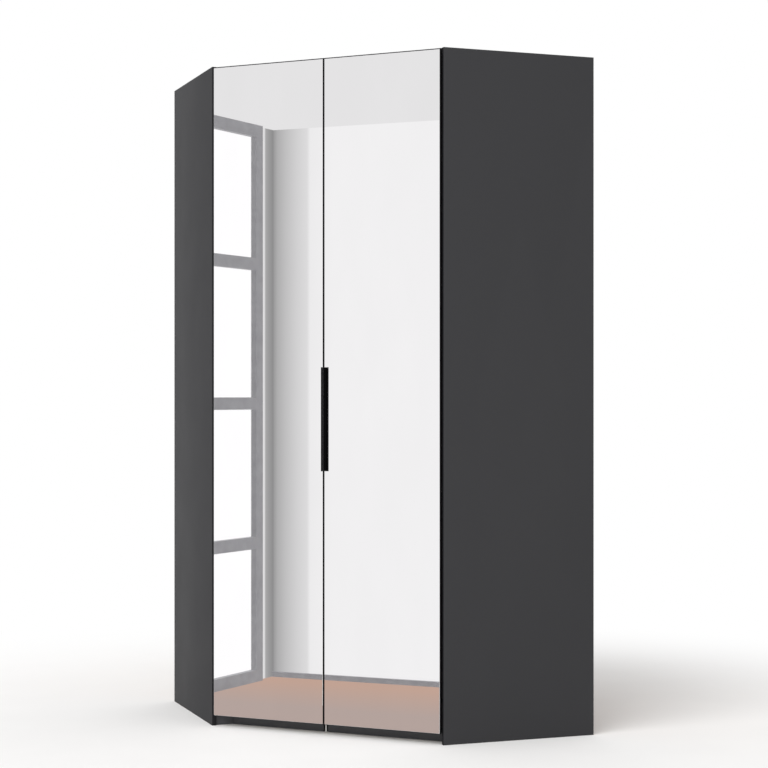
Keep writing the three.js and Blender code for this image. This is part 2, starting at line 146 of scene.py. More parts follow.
class BoardSettings(bpy.types.PropertyGroup):
    melamine: colour_setting("Melamine", "Colour of the boards' outer faces", "#38383A")
    linen: colour_setting("Linen print", "Colour of the boards' inner faces", "#B9B5AE")
    band: colour_setting("Edge band", "Colour of the plastic edge bands", "#28282A")
    plinth: colour_setting("Plinth foil", "Colour of the plinth boards", "#4C4D50")
    chipboard: colour_setting("Chipboard", "Colour of bare chipboard edges", "#A98A61")
    hardboard: colour_setting("Hardboard", "Colour of the backs' bare rear face", "#7C5B3C")
    lip: colour_setting("Connector lip", "Colour of the lip between the plinth boards", "#E8E8E6")
    # The body's black also paints the shade of the joint beside the lip.
    painted_joint_shade: colour_setting("Connector body", "Colour of the connector behind its lip", "#161617")
    edge_radius: length_setting("Edge radius", "Rounding of the boards' edges", 0.5 * MM)
    hole_radius: length_setting("Pin hole radius", "Radius of the spare shelf pin holes", 2.5 * MM)
    hole_pitch: length_setting("Pin hole pitch", "From one pin hole to the next", 32 * MM)


class GlassSettings(bpy.types.PropertyGroup):
    silver: colour_setting("Silvering", "Colour that the mirrors reflect", "#F6F5F6")
    edge: colour_setting("Glass edge", "Colour of the polished edges", "#0E1613")
    chamfer: length_setting("Front chamfer", "Polished chamfer round the mirror's face", 0.8 * MM)
    arris: length_setting("Rear arris", "Rounding of the mirror's rear edges", 0.4 * MM)


class MetalSettings(bpy.types.PropertyGroup):
    anodised: colour_setting("Black anodising", "Colour of the door handle", "#101011")
    # A paler grey on the lip's inner side paints a highlight there.
    painted_highlight: colour_setting("Satin anodising", "Colour of the handle lip's inner side", "#2B2B2D")
    nickel: colour_setting("Nickel", "Colour of the hinges", "#C3BFB6")
    chrome: colour_setting("Chrome", "Colour of the hanging rail", "#D9DBDD")
    zinc: colour_setting("Zinc", "Colour of the angles and screws", "#B9BDC1")
    edge_radius: length_setting("Edge radius", "Rounding of the fittings' edges", 0.2 * MM)
    handle_radius: length_setting("Handle edge radius", "Rounding of the handle's edges", 0.35 * MM)
    screw_radius: length_setting("Screw head radius", "Radius of the pan heads", 3.4 * MM)
    screw_height: length_setting("Screw head height", "Height of the pan heads", 1.1 * MM)
    pin_radius: length_setting("Shelf pin radius", "Radius of the pins under the shelves", 2.5 * MM)
    pin_length: length_setting("Shelf pin length", "How far the pins stand out", 9 * MM)


class StudioSettings(bpy.types.PropertyGroup):
    floor: colour_setting("Floor", "Colour of the studio floor", "#F6F5F4")
    ambient: number_setting("Ambient", "Strength of the even light", 0.77, min=0)
    sun: number_setting("Soft light", "Strength of the broad light from the left", 1.5, min=0)
    spread: number_setting(
        "Spread", "Apparent size of the broad light", radians(45), min=0, subtype="ANGLE")
    eye: bpy.props.FloatVectorProperty(
        name="Camera place", description="Where the camera stands",
        default=(-2.3148, -6.3881, 1.180), size=3, subtype="TRANSLATION", unit="LENGTH")
    heading: number_setting(
        "Camera heading", "Its turn about the vertical", radians(-20.2565), subtype="ANGLE")
    lens: number_setting("Lens", "Focal length on a 36 mm sensor, in millimetres", 86.644, min=1)
    rise: number_setting("Rise", "The camera's upward shift, in parts of the frame", 0.01587)


class WardrobeSettings(bpy.types.PropertyGroup):
    boards: bpy.props.PointerProperty(type=BoardSettings, name="Boards", description="The boards")
    glass: bpy.props.PointerProperty(type=GlassSettings, name="Glass", description="The mirrors")
    metal: bpy.props.PointerProperty(type=MetalSettings, name="Metal", description="The fittings")
    studio: bpy.props.PointerProperty(type=StudioSettings, name="Studio", description="The stage")


def settings():
    return bpy.context.scene.corner_wardrobe


# Shader nodes


# The socket that sets how much a surface that isn't metal mirrors
GLOSS = "Specular IOR Level"

# A pattern is the node or socket that gives it, and the range of its values that counts: noise
# seldom leaves this one.
Pattern = namedtuple("Pattern", "source start end", defaults=(0.3, 0.7))


def add_node(tree, kind, values=(), stops=(), **fields):
    """A node with its settings, its ramp's stops, and its inputs linked or set. An input that is
    given a node is linked to that node's first output."""
    made = tree.nodes.new(kind)
    for field, value in fields.items():
        setattr(made, field, value)
    for socket, value in dict(values).items():
        if isinstance(value, bpy.types.Node):
            value = value.outputs[0]
        if isinstance(value, bpy.types.NodeSocket):
            tree.links.new(value, made.inputs[socket])
        else:
            made.inputs[socket].default_value = value
    if stops:
        ramp = made.color_ramp.elements
        while len(ramp) < len(stops):
            ramp.new(1.0)
        for stop, (place, colour) in zip(ramp, stops):
            stop.position, stop.color = place, colour
    return made


def each(size_mm):
    """A pattern's scale, in repeats to the metre, from the size of one repeat."""
    return 1000 / size_mm


def grain(tree, size_mm, detail=2.0, stretch=(1, 1, 1)):
    """Noise whose lumps have a real size, stretched along the piece where asked."""
    coords = add_node(tree, "ShaderNodeTexCoord").outputs["Object"]
    laid = add_node(tree, "ShaderNodeMapping", {"Vector": coords, "Scale": stretch})
    return Pattern(add_node(tree, "ShaderNodeTexNoise",
                            {"Vector": laid, "Scale": each(size_mm), "Detail": detail}))


def surface(tree, tint, roughness, relief=None, depth_mm=0.0, strength=1.0, fixed=()):
    """A shader whose colour and roughness follow patterns, each from its value at the pattern's low
    end to that at its high end, over a relief of a real depth. The rest is fixed all over."""
    pattern, dark, light = tint
    colour = add_node(tree, "ShaderNodeValToRGB", {"Fac": pattern.source},
                      stops=((pattern.start, dark), (pattern.end, light)))
    pattern, low, high = roughness
    sheen = add_node(tree, "ShaderNodeMapRange", {
        "Value": pattern.source, "From Min": pattern.start, "From Max": pattern.end,
        "To Min": low, "To Max": high})
    values = {"Base Color": colour, "Roughness": sheen, **dict(fixed)}
    if relief:
        values["Normal"] = add_node(tree, "ShaderNodeBump", {
            "Height": relief.source, "Distance": depth_mm * MM, "Strength": strength})
    return add_node(tree, "ShaderNodeBsdfPrincipled", values)


def seen_directly(tree):
    """1 for what the camera sees straight, in a gloss or through glass, and 0 for what lights."""
    path = add_node(tree, "ShaderNodeLightPath")
    either = add_node(tree, "ShaderNodeMath", {
        0: path.outputs["Is Camera Ray"], 1: path.outputs["Is Glossy Ray"]}, operation="MAXIMUM")
    return add_node(tree, "ShaderNodeMath", {
        0: either, 1: path.outputs["Is Transmission Ray"]}, operation="MAXIMUM")


# Finishes of the wardrobe. Each returns its shader, and its material is named after it.


def graphite_melamine(tree):
    """Melamine paper pressed on chipboard: an even satin sheen over a fine pearl grain."""
    colour = settings().boards.melamine
    # The pressed pearls are about 0.4 mm, drawn 2 mm wide so that they show.
    pearls = grain(tree, 2, detail=3)
    # Wiping leaves broad patches that are a little glossier.
    patches = grain(tree, 160)
    return surface(tree, tint=(pearls, rgba(colour, 0.9), rgba(colour, 1.1)),
                   roughness=(patches, 0.67, 0.72), relief=pearls, depth_mm=0.03,
                   fixed={GLOSS: 0.16})


# How far a thread of the print is drawn out in each direction, warp first and then weft
UPRIGHT_THREADS = ((1, 1, 0.04), (0.04, 0.04, 1))
LEVEL_THREADS = ((1, 0.04, 0.04), (0.04, 1, 0.04))


def linen_print(tree, threads, roughness):
    """Paper printed with a linen weave: pale warm threads that cross, under a soft sheen."""
    colour = settings().boards.linen
    # The printed threads are about 0.7 mm, drawn 2.5 mm wide so that they show.
    warp, weft = (grain(tree, 2.5, stretch=way).source for way in threads)
    weave = Pattern(add_node(tree, "ShaderNodeMath", {0: warp, 1: weft}, operation="ADD"), 0.8, 1.2)
    return surface(tree, tint=(weave, rgba(colour, 0.84), rgba(colour, 1.12)),
                   roughness=(weave, roughness, roughness + 0.1), relief=weave, depth_mm=0.04,
                   fixed={GLOSS: 0.3})


def upright_linen_melamine(tree):
    """Linen-printed melamine on a standing board: its threads run up and across."""
    return linen_print(tree, UPRIGHT_THREADS, 0.5)


def level_linen_melamine(tree):
    """Linen-printed melamine on a lying board: its threads run along both walls."""
    return linen_print(tree, LEVEL_THREADS, 0.5)


def linen_hardboard(tree):
    """The printed side of hardboard: the same weave as the boards', but duller."""
    return linen_print(tree, UPRIGHT_THREADS, 0.62)


def edge_band(tree, colour, gloss, roughness):
    """Extruded ABS strip ironed onto a board's edge and scraped flush, which leaves fine lines."""
    # The scraper's lines are about 0.5 mm apart, drawn 1.5 mm wide.
    streaks = grain(tree, 1.5, stretch=(1, 1, 0.02))
    return surface(tree, tint=(streaks, rgba(colour, 0.94), rgba(colour, 1.06)),
                   roughness=(streaks, roughness, roughness + 0.08), relief=streaks, depth_mm=0.01,
                   fixed={GLOSS: gloss})


def graphite_edge_band(tree):
    """The band on the outer boards and the doors: darker than their melamine, with a low sheen."""
    return edge_band(tree, settings().boards.band, 0.03, 0.52)


def linen_edge_band(tree):
    """The band on the inner boards: plain, in the linen print's colour."""
    return edge_band(tree, settings().boards.linen, 0.25, 0.42)


def foil_wrapped_board(tree):
    """Chipboard wrapped in printed foil: a little paler than the melamine, with a low sheen."""
    colour = settings().boards.plinth
    # The print's dots are about 0.2 mm, drawn 1 mm wide.
    dots = grain(tree, 1)
    # Handling leaves patches that are a little duller.
    patches = grain(tree, 60)
    return surface(tree, tint=(dots, rgba(colour, 0.93), rgba(colour, 1.07)),
                   roughness=(patches, 0.42, 0.52), fixed={GLOSS: 0.3})


def raw_chipboard(tree):
    """Sawn chipboard: flakes of 2 to 4 mm in glue, pale and dark by turns, with no sheen."""
    colour = settings().boards.chipboard
    coords = add_node(tree, "ShaderNodeTexCoord").outputs["Object"]
    flakes = add_node(tree, "ShaderNodeTexVoronoi", {"Vector": coords, "Scale": each(2.6)})
    shade = add_node(tree, "ShaderNodeSeparateColor", {"Color": flakes.outputs["Color"]})
    return surface(tree, tint=(Pattern(shade, 0, 1), rgba(colour, 0.5), rgba(colour, 1.3)),
                   roughness=(Pattern(shade), 0.8, 0.95),
                   relief=Pattern(flakes), depth_mm=0.3, strength=0.6,
                   fixed={GLOSS: 0.3})


def brown_hardboard(tree):
    """The bare side of hardboard: pressed brown fibre with the print of the press's wire screen."""
    colour = settings().boards.hardboard
    fibres = grain(tree, 9, detail=6)
    coords = add_node(tree, "ShaderNodeTexCoord").outputs["Object"]
    # The screen's wires are 1.3 mm apart.
    screen = add_node(tree, "ShaderNodeTexVoronoi",
                      {"Vector": coords, "Scale": each(1.3), "Randomness": 0.0})
    return surface(tree, tint=(fibres, rgba(colour, 0.72), rgba(colour, 1.15)),
                   roughness=(fibres, 0.78, 0.9),
                   relief=Pattern(screen), depth_mm=0.2, strength=0.7,
                   fixed={GLOSS: 0.3})


def silvered_float_glass(tree):
    """Float glass silvered on its back: a clean, almost perfect reflection."""
    colour = settings().glass.silver
    # Wiping leaves a film in streaks, which softens the reflection by hardly more than can be seen.
    film = grain(tree, 120, detail=3, stretch=(1, 1, 0.35))
    # Float glass waves by hundredths of a millimetre over a hand's width.
    waves = grain(tree, 260, detail=0)
    return surface(tree, tint=(film, rgba(colour, 0.985), rgba(colour)),
                   roughness=(film, 0.004, 0.02), relief=waves, depth_mm=0.02,
                   fixed={"Metallic": 1.0})


def polished_glass_edge(tree):
    """Ground and polished glass edge: the glass's depth shows as a dark green with a wet gloss."""
    colour = settings().glass.edge
    # The wheel's lines are about 0.1 mm apart, drawn 1.2 mm wide.
    wheel = grain(tree, 1.2, stretch=(1, 1, 0.05))
    return surface(tree, tint=(wheel, rgba(colour, 0.8), rgba(colour, 1.2)),
                   roughness=(wheel, 0.1, 0.18), fixed={"IOR": 1.52})


def anodised(tree, colour, metallic):
    """Anodised extrusion, brushed along its length."""
    # The belt's lines are about 0.1 mm wide, drawn 0.4 mm wide.
    lines = grain(tree, 0.4, stretch=(1, 1, 0.01))
    return surface(tree, tint=(lines, rgba(colour, 0.8), rgba(colour, 1.25)),
                   roughness=(lines, 0.3, 0.42), relief=lines, depth_mm=0.01,
                   fixed={"Metallic": metallic})


def black_anodised_aluminium(tree):
    """Black anodising: a metal sheen so dark that only bright things show in it."""
    return anodised(tree, settings().metal.anodised, 1.0)


def satin_anodising_painted_highlight(tree):
    """The lip's inner side: anodising without a metal sheen, in a paler grey that paints a highlight,
    which shows as a thin grey stripe.
    """
    return anodised(tree, settings().metal.painted_highlight, 0.0)


def plated(tree, colour, low, high, size_mm):
    """Plated metal whose sheen is mottled between two values."""
    clouds = grain(tree, size_mm, detail=3)
    return surface(tree, tint=(clouds, rgba(colour, 0.92), rgba(colour, 1.04)),
                   roughness=(clouds, low, high), fixed={"Metallic": 1.0})


def nickel_plated_steel(tree):
    """Pressed steel with bright nickel: warm, and softly mirrored like most hinges."""
    return plated(tree, settings().metal.nickel, 0.16, 0.26, 6)


def chromed_steel_tube(tree):
    """Drawn tube with decorative chrome: a hard, bright mirror with a few duller patches."""
    return plated(tree, settings().metal.chrome, 0.04, 0.09, 14)


def zinc_plated_steel(tree):
    """Blue passivated zinc: a duller, cooler grey than nickel."""
    return plated(tree, settings().metal.zinc, 0.28, 0.42, 3)


def moulded_abs(tree, colour, gloss):
    """Injection moulded ABS: the fine spark texture of its tool breaks up the sheen."""
    # Spark texture is about 0.1 mm, drawn at 0.6 mm.
    sparks = grain(tree, 0.6)
    return surface(tree, tint=(sparks, rgba(colour, 0.96), rgba(colour, 1.03)),
                   roughness=(sparks, 0.42, 0.52), relief=sparks, depth_mm=0.02,
                   fixed={GLOSS: gloss})


def pale_moulded_abs(tree):
    """The connector's lip: a pale grey that stands out as a thin line in the plinth."""
    return moulded_abs(tree, settings().boards.lip, 0.4)


def black_abs_painted_joint_shade(tree):
    """The connector's body: black, a colour that also paints the shade of the joint on its sides, so
    that it disappears there.
    """
    return moulded_abs(tree, settings().boards.painted_joint_shade, 0.15)


def clear_silicone(tree):
    """Cast silicone bumper: milky and soft, with light passing through it."""
    haze = grain(tree, 2)
    return surface(tree, tint=(haze, rgba(linear("#D6DADB")), rgba(linear("#EEF0F0"))),
                   roughness=(haze, 0.18, 0.3), fixed={"IOR": 1.41, "Transmission Weight": 0.7})


# Finishes of the studio


def painted_floor(tree):
    """Painted studio floor: a plain pale matt surface that keeps the wardrobe's shadow and fades
    to white from 1.2 m to 3 m out."""
    colour = settings().studio.floor
    coords = add_node(tree, "ShaderNodeTexCoord").outputs["Object"]
    flat = add_node(tree, "ShaderNodeVectorMath", {0: coords, 1: (1, 1, 0)}, operation="MULTIPLY")
    radius = add_node(tree, "ShaderNodeVectorMath", {0: flat}, operation="LENGTH").outputs["Value"]
    fade = add_node(tree, "ShaderNodeMapRange", {"Value": radius, "From Min": 1.2, "From Max": 3.0},
                    interpolation_type="SMOOTHSTEP")
    share = add_node(tree, "ShaderNodeMath",
                     {0: fade, 1: seen_directly(tree)}, operation="MULTIPLY")
    rolled = grain(tree, 300)
    tint = add_node(tree, "ShaderNodeValToRGB", {"Fac": rolled.source},
                    stops=((rolled.start, rgba(colour, 0.985)), (rolled.end, rgba(colour))))
    paint = add_node(tree, "ShaderNodeBsdfDiffuse", {"Color": tint})
    white = add_node(tree, "ShaderNodeEmission", {"Color": WHITE, "Strength": 1.0})
    return add_node(tree, "ShaderNodeMixShader", {0: share, 1: paint, 2: white})


def lit_cloth(tree):
    """Diffusing cloth with lamps behind it: an even white glow that only reflections see."""
    return add_node(tree, "ShaderNodeEmission", {"Color": WHITE, "Strength": 1.1})


def cloth_with_painted_shade(tree, tones):
    """Glowing cloth whose tone changes from its first end to the other: painted light, with a fold's
    shade painted in.
    """
    uv = add_node(tree, "ShaderNodeTexCoord").outputs["UV"]
    across = add_node(tree, "ShaderNodeSeparateXYZ", {"Vector": uv}).outputs["X"]
    ramp = add_node(tree, "ShaderNodeValToRGB", {"Fac": across},
                    stops=[(place, (tone, tone, tone, 1)) for place, tone in tones])
    return add_node(tree, "ShaderNodeEmission", {"Color": ramp})


def cloth_in_fold_painted_shade(tree):
    """The narrow cloth between the fold and the lamps: painted shade of the fold, with a painted bright
    half.
    """
    return cloth_with_painted_shade(tree, ((0.0, 0.29), (0.3, 0.36), (0.5, 0.43), (0.58, 0.82), (1.0, 0.78)))


def cloth_from_fold_painted_shade(tree):
    """The flat's cloth: painted shade at the fold, brightening away from it, with one step up."""
    return cloth_with_painted_shade(tree, ((0.0, 0.34), (0.02, 0.46), (0.06, 0.57), (0.12, 0.7), (0.17, 0.78),
                               (0.185, 0.92), (0.3, 0.96), (1.0, 0.96)))


def backdrop_painted_shade(tree):
    """Seamless backdrop that glows white at the floor, with painted shade that dims it to a very pale
    grey from 2.2 m up.
    """
    coords = add_node(tree, "ShaderNodeTexCoord").outputs["Object"]
    height = add_node(tree, "ShaderNodeSeparateXYZ", {"Vector": coords}).outputs["Z"]
    # Painted shade: the glow dims from 1 at the floor to 0.85 up high.
    tone = add_node(tree, "ShaderNodeMapRange", {
        "Value": height, "From Min": 0.0, "From Max": 2.2, "To Min": 1.0, "To Max": 0.85},
        interpolation_type="SMOOTHSTEP")
    return add_node(tree, "ShaderNodeEmission", {"Color": WHITE, "Strength": tone})


def warm_paper_painted_light(tree):
    """Roll of warm grey paper on the floor, a little browner away from the doors; it glows, so its
    light is painted.
    """
    uv = add_node(tree, "ShaderNodeTexCoord").outputs["UV"]
    inwards = add_node(tree, "ShaderNodeSeparateXYZ", {"Vector": uv}).outputs["Y"]
    tone = add_node(tree, "ShaderNodeValToRGB", {"Fac": inwards},
                    stops=((0.1, rgba(linear("#C9AA9A"))), (0.6, rgba(linear("#BBAAA3")))))
    return add_node(tree, "ShaderNodeEmission", {"Color": tone})


def lacquered_tube(tree):
    """Grey lacquered square tube of the lamp frames, with a dull gloss."""
    clouds = grain(tree, 40)
    return surface(tree, tint=(clouds, rgba(linear("#9C9CA0")), rgba(linear("#A6A6AA"))),
                   roughness=(clouds, 0.45, 0.55))


def finished_material(finish):
    """A finish's material, made when it is first asked for."""
    material = bpy.data.materials.get(finish.__name__)
    if not material:
        material = bpy.data.materials.new(finish.__name__)
        material.use_nodes = True
        tree = material.node_tree
        tree.nodes.clear()
        add_node(tree, "ShaderNodeOutputMaterial", {"Surface": finish(tree)})
    return material


def coat(piece, *finishes, choose=None):
    """Gives the piece its finishes; choose picks one for a face from its normal and centre."""
    piece.data.materials.clear()
    for finish in finishes:
        piece.data.materials.append(finished_material(finish))
    for face in piece.data.polygons:
        face.material_index = finishes.index(choose(face.normal, face.center)) if choose else 0


# Modelling


# The shortest edge that is rounded, on a board and on a fitting
BOARD_EDGE = 6 * MM
FITTING_EDGE = 1 * MM
# Faces that meet at less than the first angle are one, and at more than the second have an edge.
FLAT = radians(1)
SHARP = radians(30)


def alone(piece):
    """Makes the piece the only one that operators act on."""
    if bpy.context.object and bpy.context.object.mode != "OBJECT":
        bpy.ops.object.mode_set(mode="OBJECT")
    bpy.ops.object.select_all(action="DESELECT")
    piece.select_set(True)
    bpy.context.view_layer.objects.active = piece


def name_piece(name):
    piece = bpy.context.object
    piece.name = piece.data.name = name
    return piece


def added(name, add_primitive, scale=(1, 1, 1), **sizes):
    """A primitive at its size and place, which leaves its object at the origin."""
    bpy.ops.object.select_all(action="DESELECT")
    add_primitive(**sizes)
    piece = name_piece(name)
    piece.scale = scale
    bpy.ops.object.transform_apply(location=True, rotation=True, scale=True)
    return piece


def unselected(piece, select_mode):
    """The piece's mesh, alone and with nothing selected."""
    alone(piece)
    mesh = piece.data
    for part in (mesh.vertices, mesh.edges, mesh.polygons):
        part.foreach_set("select", [False] * len(part))
    bpy.context.tool_settings.mesh_select_mode = select_mode
    return mesh


def edit_edges(piece, wanted):
    """Opens the piece in edit mode with the wanted edges selected, by their ends."""
    mesh = unselected(piece, (False, True, False))
    for edge in mesh.edges:
        edge.select = wanted(*(mesh.vertices[i].co for i in edge.vertices))
    bpy.ops.object.mode_set(mode="EDIT")


def edit_faces(piece, wanted):
    """Opens the piece in edit mode with the wanted faces selected, by normal and centre."""
    for face in unselected(piece, (False, False, True)).polygons:
        face.select = wanted(face.normal, face.center)
    bpy.ops.object.mode_set(mode="EDIT")


def back_to_object(piece):
    """Closes edit mode and smooths the shading over shallow angles."""
    alone(piece)
    bpy.ops.object.shade_smooth_by_angle(angle=SHARP)


def put(piece, placing):
    """Moves the piece to its place and leaves its object at the origin."""
    alone(piece)
    piece.matrix_world = placing @ piece.matrix_world
    bpy.ops.object.transform_apply(location=True, rotation=True, scale=True)


def slab(name, low, high):
    """A box between two corners."""
    return added(name, bpy.ops.mesh.primitive_cube_add, high - low,
                 size=1, location=(low + high) / 2)


def rod(name, radius, length, sides):
    """A closed cylinder that stands on its own origin."""
    return added(name, bpy.ops.mesh.primitive_cylinder_add,
                 vertices=sides, radius=radius, depth=length, location=(0, 0, length / 2))


def domed_rod(name, radius, length, rounding, segments):
    """A small rod with its upper edge rounded."""
    piece = rod(name, radius, length, sides=24)
    edit_edges(piece, lambda a, b: min(a.z, b.z) > length - TOUCH)
    bpy.ops.mesh.bevel(offset=rounding, segments=segments, affect="EDGES")
    back_to_object(piece)
    return piece


def softened_copy(node, name, radius, shortest=0.0):
    """A CAD node's mesh, merged, with its sharp edges that are long enough rounded."""
    piece = bpy.data.objects.new(name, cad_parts[node].data.copy())
    piece.data.name = name
    bpy.context.collection.objects.link(piece)
    alone(piece)
    bpy.ops.object.mode_set(mode="EDIT")
    bpy.ops.mesh.select_all(action="SELECT")
    bpy.ops.mesh.remove_doubles(threshold=TOUCH)
    bpy.ops.mesh.dissolve_limited(angle_limit=FLAT)
    bpy.ops.mesh.select_all(action="DESELECT")
    bpy.context.tool_settings.mesh_select_mode = (False, True, False)
    bpy.ops.mesh.edges_select_sharp(sharpness=SHARP)
    bpy.ops.object.mode_set(mode="OBJECT")
    mesh = piece.data
    for edge in mesh.edges:
        start, end = (mesh.vertices[i].co for i in edge.vertices)
        edge.select = edge.select and (end - start).length >= shortest
    bpy.ops.object.mode_set(mode="EDIT")
    bpy.ops.mesh.bevel(offset=radius, segments=2, affect="EDGES", clamp_overlap=True)
    back_to_object(piece)
    return piece


def copied(piece, name, placing):
    """A copy with its own mesh, in its own place."""
    twin = bpy.data.objects.new(name, piece.data.copy())
    bpy.context.collection.objects.link(twin)
    put(twin, placing)
    return twin


def merged(pieces, name):
    """Several pieces as one."""
    alone(pieces[0])
    for piece in pieces[1:]:
        piece.select_set(True)
    bpy.ops.object.join()
    return name_piece(name)


def carry(piece, body, slot, *nodes):
    """Says which body the piece moves with and which nodes it stands for. The slot it is given is not
    used.
    """
    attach(piece, body)
    if nodes:
        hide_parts(*nodes)


def board(node, slot, thickness, banded, under, over, band=graphite_edge_band, body="carcass"):
    """A board with its two broad faces, plastic bands on the edges that show and raw chipboard
    on the others. The face called over looks along thickness."""
    piece = softened_copy(node, f"{node}_board", settings().boards.edge_radius, BOARD_EDGE)

    def choose(normal, _):
        lean = normal.dot(thickness)
        if abs(lean) > SQUARE_ON:
            return over if lean > 0 else under
        if any(normal.dot(way) > TOWARDS for way in banded):
            return band
        return raw_chipboard

    coat(piece, *dict.fromkeys([under, over, band, raw_chipboard]), choose=choose)
    carry(piece, body, slot, node)
    return piece


def drilled(piece, places, radius, depth):
    """Drills blind holes at the given places, each into the face that its placing looks out of."""
    drill = rod("drill_model", radius, 2 * depth, sides=16)
    bits = [copied(drill, f"drill_{i}", place @ Matrix.Translation((0, 0, -depth)))
            for i, place in enumerate(places)]
    cut_away(piece, merged(bits, "drill"))
    bpy.data.objects.remove(drill)


def cut_away(piece, cutter):
    """Cuts one closed piece out of another, and removes it."""
    alone(piece)
    bpy.ops.object.modifier_add(type="BOOLEAN")
    cut = piece.modifiers[-1]
    cut.operation, cut.solver, cut.object = "DIFFERENCE", "EXACT", cutter
    bpy.ops.object.modifier_apply(modifier=cut.name)
    bpy.data.objects.remove(cutter)


def fitting(node, finish, body="carcass"):
    """A steel fitting with its edges softened and one finish all over."""
    piece = softened_copy(node, f"{node}_fitting", settings().metal.edge_radius, FITTING_EDGE)
    coat(piece, finish)
    carry(piece, body, "steel", node)


def screw_head(name):
    """A pan head with a cross recess, standing on its own origin."""
    metal = settings().metal
    radius, height = metal.screw_radius, metal.screw_height
    dome, reach, half, deep = 0.45 * height, 0.62 * radius, 0.14 * radius, 0.6 * height
    head = domed_rod(name, radius, height, dome, 3)
    for wide, long in ((half, reach), (reach, half)):
        low, high = Vector((-wide, -long, height - deep)), Vector((wide, long, height + deep))
        cut_away(head, slab(f"{name}_slot", low, high))
    back_to_object(head)
    coat(head, zinc_plated_steel)
    return head


def screws(name, places, body="carcass"):
    """Screw heads at the given places, as one piece."""
    model = bpy.data.objects.get("screw_model") or screw_head("screw_model")
    heads = [copied(model, f"{name}_{i}", place) for i, place in enumerate(places)]
    carry(merged(heads, name), body, "steel")


# Operators


# From a shelf's front and rear edge to its pins, and how deep the pins' holes are
PIN_INSET = 50 * MM
HOLE_DEPTH = 8 * MM


def pin_places(node, way):
    """Where a shelf's two pins stand out of the board beside it, pointing along way."""
    low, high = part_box(node)
    x = low.x if way.x > 0 else high.x
    z = low.z - settings().metal.pin_radius
    return [facing(Vector((x, y, z)), way) for y in (low.y + PIN_INSET, high.y - PIN_INSET)]


def pin_holes(way):
    """The spare holes above and below each shelf's pins."""
    pitch = settings().boards.hole_pitch
    return [Matrix.Translation(UP * pitch * step) @ place
            for node in SHELVES for place in pin_places(node, way) for step in (-2, -1, 1, 2)]


class WARDROBE_OT_side_panels(bpy.types.Operator):
    """Adds the two side panels, banded on the edges that show"""

    bl_idname = "wardrobe.side_panels"
    bl_label = "Side Panels"

    def execute(self, context):
        for side in SIDES:
            across, back = into_wardrobe(side)
            panel = board(f"{side}_side_panel", "graphite_board", across, [-back, UP],
                          graphite_melamine, upright_linen_melamine)
            if side == "left":
                drilled(panel, pin_holes(ALONG_X), settings().boards.hole_radius, HOLE_DEPTH)
        return {"FINISHED"}


class WARDROBE_OT_corner_boards(bpy.types.Operator):
    """Adds the five-sided top board, bottom board and hat shelf"""

    bl_idname = "wardrobe.corner_boards"
    bl_label = "Corner Boards"

    def execute(self, context):
        linen = level_linen_melamine
        board("top_board", "graphite_board", UP, [-INWARD], linen, graphite_melamine)
        board("bottom_board", "linen_board", UP, [-INWARD], linen, linen)
        board("hat_shelf", "linen_board", UP, [-INWARD], linen, linen, linen_edge_band)
        return {"FINISHED"}


class WARDROBE_OT_corner_post(bpy.types.Operator):
    """Adds the rebated post in the wall corner"""

    bl_idname = "wardrobe.corner_post"
    bl_label = "Corner Post"

    def execute(self, context):
        node, radius = "corner_post", settings().boards.edge_radius
        post = softened_copy(node, f"{node}_board", radius, BOARD_EDGE)
        linen, sawn = upright_linen_melamine, raw_chipboard
        coat(post, linen, sawn, choose=lambda normal, _: sawn if abs(normal.z) > TOWARDS else linen)
        carry(post, "carcass", "linen_board", node)
        return {"FINISHED"}


class WARDROBE_OT_back_panels(bpy.types.Operator):
    """Adds the two hardboard backs, printed inside and bare outside"""

    bl_idname = "wardrobe.back_panels"
    bl_label = "Back Panels"

    def execute(self, context):
        for side in SIDES:
            _, back = into_wardrobe(side)
            node, edge_radius = f"{side}_back_panel", 0.3 * MM
            panel = softened_copy(node, f"{node}_sheet", edge_radius)
            printed, bare = linen_hardboard, brown_hardboard
            coat(panel, printed, bare,
                 choose=lambda normal, _: printed if normal.dot(-back) > TOWARDS else bare)
            carry(panel, "carcass", "hardboard", node)
        return {"FINISHED"}


class WARDROBE_OT_shelf_column(bpy.types.Operator):
    """Adds the partition, the shelves beside it and the pins that carry them"""

    bl_idname = "wardrobe.shelf_column"
    bl_label = "Shelf Column"

    def execute(self, context):
        linen, band = upright_linen_melamine, linen_edge_band
        partition = board("partition", "linen_board", ALONG_X, [-ALONG_Y], linen, linen, band)
        drilled(partition, pin_holes(-ALONG_X), settings().boards.hole_radius, HOLE_DEPTH)
        linen = level_linen_melamine
        metal, rounding = settings().metal, 0.7 * MM
        pin = domed_rod("pin_model", metal.pin_radius, metal.pin_length, rounding, 2)
        coat(pin, nickel_plated_steel)
        for node in SHELVES:
            board(node, "linen_board", UP, [-ALONG_Y], linen, linen, band)
            pins = [copied(pin, f"{node}_pin", place)
                    for way in (ALONG_X, -ALONG_X) for place in pin_places(node, way)]
            carry(merged(pins, f"{node}_pins"), "carcass", "steel")
        bpy.data.objects.remove(pin)
        return {"FINISHED"}


class WARDROBE_OT_plinth(bpy.types.Operator):
    """Adds the plinth boards, the connector between them and the return beside the left panel"""

    bl_idname = "wardrobe.plinth"
    bl_label = "Plinth"

    def execute(self, context):
        foil = foil_wrapped_board
        for side in SIDES:
            board(f"{side}_plinth", "graphite_board", INWARD, [ALONG, -ALONG], foil, foil)
        board("plinth_return", "graphite_board", ALONG_Y, [ALONG_X], foil, foil)
        self.connector()
        return {"FINISHED"}

    def connector(self):
        node, lip = "plinth_connector", 1 * MM
        piece = softened_copy(node, f"{node}_fitting", settings().metal.edge_radius, FITTING_EDGE)
        lip_end = foremost(node) + lip
        # The 1 mm lip is pale; the black body behind it paints the joint's shade.
        pale, black = pale_moulded_abs, black_abs_painted_joint_shade
        coat(piece, pale, black,
             choose=lambda _, centre: pale if centre.dot(INWARD) < lip_end else black)
        carry(piece, "carcass", "grey_plastic", node)


